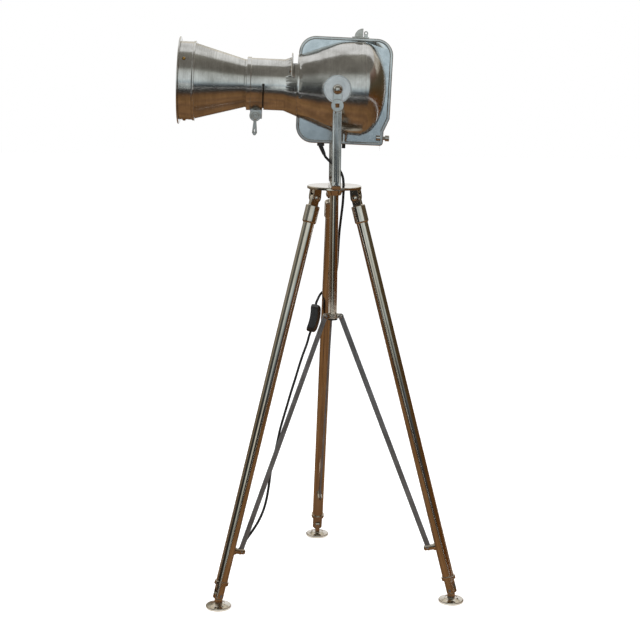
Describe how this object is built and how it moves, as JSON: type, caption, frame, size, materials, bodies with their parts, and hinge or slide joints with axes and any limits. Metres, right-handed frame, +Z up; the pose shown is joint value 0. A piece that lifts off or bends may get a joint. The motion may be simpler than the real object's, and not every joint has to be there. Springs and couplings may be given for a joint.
{
  "type": "tripod spotlight floor lamp",
  "caption": "Folding tripod floor lamp: a cast profile spotlight with a sliding lens tube tilts and pans in a yoke on a round head plate, with a flex and in-line switch.",
  "frame": {"origin": "on the floor, under the centre of the lamp's box without its flex", "axes": "+Z up, -X towards the lens, +Y to the rear leg"},
  "size_m": [0.637, 0.5202, 1.2488],
  "materials": {
    "nickel": "polished nickel plate",
    "cast_aluminium": "polished casting with fine brush lines",
    "turned_aluminium": "bright turned face",
    "dark_steel": "dark burnished steel",
    "steel": "bright steel",
    "brass": "worn brass",
    "black_rubber": "satin black flex",
    "black_plastic": "satin black moulding",
    "lens_glass": "clear optical glass",
    "bulb_glass": "clear bulb",
    "porcelain": "glazed porcelain"
  },
  "bodies": {
    "tripod_head": {"head_plate": "nickel", "centre_column": "nickel", "column_cap": "dark_steel", "pan_bolt": "steel", "leg_bolts": "nickel", "cord_neck": "black_rubber", "cord_column": "black_rubber", "inline_switch": "black_plastic"},
    "switch_rocker": {"switch_rocker": "black_plastic"},
    "spider": {"spider": "nickel", "spider_pins": "dark_steel"},
    "yoke": {"yoke": "cast_aluminium", "cord_head": "black_rubber"},
    "lamphouse": {"housing_near": "cast_aluminium", "housing_far": "cast_aluminium", "housing_screws": "steel", "nozzle": "cast_aluminium", "clamp_bolt": "steel", "tilt_discs": "turned_aluminium", "tilt_bolts": "steel", "gate_plate": "dark_steel", "reflector": "turned_aluminium", "lamp_tray": "steel", "lampholder": "porcelain", "bulb": "bulb_glass", "top_catch": "dark_steel", "cord_gland": "black_plastic"},
    "wing_nut": {"wing_nut": "nickel"},
    "tray_knob": {"tray_knob": "steel"},
    "adjust_knob": {"adjust_knob": "dark_steel"},
    "lens_tube": {"lens_cone": "cast_aluminium", "lens_band": "cast_aluminium", "lens_ring": "cast_aluminium", "lens": "lens_glass", "band_screws": "brass"},
    "leg_fl": {"leg_tube_fl": "nickel", "leg_top_fl": "nickel", "leg_end_fl": "nickel", "brace_stub_fl": "nickel", "leg_pins_fl": "nickel", "cord_lower": "black_rubber", "cord_hank": "black_rubber", "cord_tie": "black_plastic", "plug": "black_plastic"},
    "foot_fl": {"foot_fl": "nickel"},
    "brace_fl": {"brace_fl": "dark_steel"},
    "leg_fr": {"leg_tube_fr": "nickel", "leg_top_fr": "nickel", "leg_end_fr": "nickel", "brace_stub_fr": "nickel", "leg_pins_fr": "nickel"},
    "foot_fr": {"foot_fr": "nickel"},
    "brace_fr": {"brace_fr": "dark_steel"},
    "leg_rear": {"leg_tube_rear": "nickel", "leg_top_rear": "nickel", "leg_end_rear": "nickel", "brace_stub_rear": "nickel", "leg_pins_rear": "nickel"},
    "foot_rear": {"foot_rear": "nickel"},
    "brace_rear": {"brace_rear": "dark_steel"}
  },
  "joints": [
    {"name": "head_pan", "type": "hinge", "parent": "tripod_head", "child": "yoke", "pos_m": [0.02251, -0.06541, 0.91187], "axis": [0, 0, 1], "range_deg": [-45, 45], "deforming": ["cord_neck"]},
    {"name": "head_tilt", "type": "hinge", "parent": "yoke", "child": "lamphouse", "pos_m": [0.02251, -0.06541, 1.12327], "axis": [0, 1, 0], "range_deg": [-45, 60], "deforming": ["cord_head"]},
    {"name": "lens_focus", "type": "slide", "parent": "lamphouse", "child": "lens_tube", "axis": [-0.9994, 0, 0.0349], "range_m": [0, 0.035]},
    {"name": "wing_nut_turn", "type": "hinge", "parent": "lamphouse", "child": "wing_nut", "pos_m": [-0.15123, -0.07541, 1.06209], "axis": [0, 1, 0], "range_deg": [-70, 70]},
    {"name": "tray_knob_turn", "type": "hinge", "parent": "lamphouse", "child": "tray_knob", "pos_m": [0.12682, -0.06541, 1.01556], "axis": [0.9994, 0, -0.0349], "continuous": true},
    {"name": "adjust_knob_turn", "type": "hinge", "parent": "lamphouse", "child": "adjust_knob", "pos_m": [0.04129, -0.06541, 1.00194], "axis": [0.0349, 0, 0.9994], "continuous": true},
    {"name": "leg_fold_fl", "type": "hinge", "parent": "tripod_head", "child": "leg_fl", "pos_m": [-0.0206, -0.09449, 0.88737], "axis": [0.5592, -0.829, 0], "range_deg": [0, 13], "deforming": ["cord_lower"]},
    {"name": "leg_fold_fr", "type": "hinge", "parent": "tripod_head", "child": "leg_fr", "pos_m": [0.06925, -0.08821, 0.88737], "axis": [0.4384, 0.8988, 0], "range_deg": [0, 13.2]},
    {"name": "leg_fold_rear", "type": "hinge", "parent": "tripod_head", "child": "leg_rear", "pos_m": [0.01888, -0.01354, 0.88737], "axis": [-0.9976, -0.0698, 0], "range_deg": [0, 13.2]},
    {"name": "spider_slide", "type": "slide", "parent": "tripod_head", "child": "spider", "axis": [0, 0, 1], "range_m": [0, 0.0246]},
    {"name": "brace_swing_fl", "type": "hinge", "parent": "spider", "child": "brace_fl", "pos_m": [0.00593, -0.07659, 0.622], "axis": [0.5592, -0.829, 0], "range_deg": [0, 19.6]},
    {"name": "brace_swing_fr", "type": "hinge", "parent": "spider", "child": "brace_fr", "pos_m": [0.04049, -0.07418, 0.622], "axis": [0.4384, 0.8988, 0], "range_deg": [0, 19.6]},
    {"name": "brace_swing_rear", "type": "hinge", "parent": "spider", "child": "brace_rear", "pos_m": [0.02112, -0.04546, 0.622], "axis": [-0.9976, -0.0698, 0], "range_deg": [0, 19.6]},
    {"name": "foot_tilt_fl", "type": "hinge", "parent": "leg_fl", "child": "foot_fl", "pos_m": [-0.22489, -0.23228, 0.028], "axis": [0.5592, -0.829, 0], "range_deg": [-25, 25]},
    {"name": "foot_tilt_fr", "type": "hinge", "parent": "leg_fr", "child": "foot_fr", "pos_m": [0.29073, -0.19623, 0.028], "axis": [0.4384, 0.8988, 0], "range_deg": [-25, 25]},
    {"name": "foot_tilt_rear", "type": "hinge", "parent": "leg_rear", "child": "foot_rear", "pos_m": [0.00169, 0.23228, 0.028], "axis": [-0.9976, -0.0698, 0], "range_deg": [-25, 25]},
    {"name": "switch_rocker_press", "type": "hinge", "parent": "tripod_head", "child": "switch_rocker", "pos_m": [-0.02044, 0.04214, 0.59442], "axis": [0.2706, 0.9331, -0.2368], "range_deg": [-8, 8]}
  ],
  "couplings": [
    {"joint": "leg_fold_fr", "follows": "leg_fold_fl", "ratio": 1},
    {"joint": "leg_fold_rear", "follows": "leg_fold_fl", "ratio": 1},
    {"joint": "spider_slide", "follows": "leg_fold_fl", "m_per_rad": 0.106},
    {"joint": "brace_swing_fl", "follows": "leg_fold_fl", "ratio": 1.48},
    {"joint": "brace_swing_fr", "follows": "leg_fold_fl", "ratio": 1.48},
    {"joint": "brace_swing_rear", "follows": "leg_fold_fl", "ratio": 1.48}
  ]
}
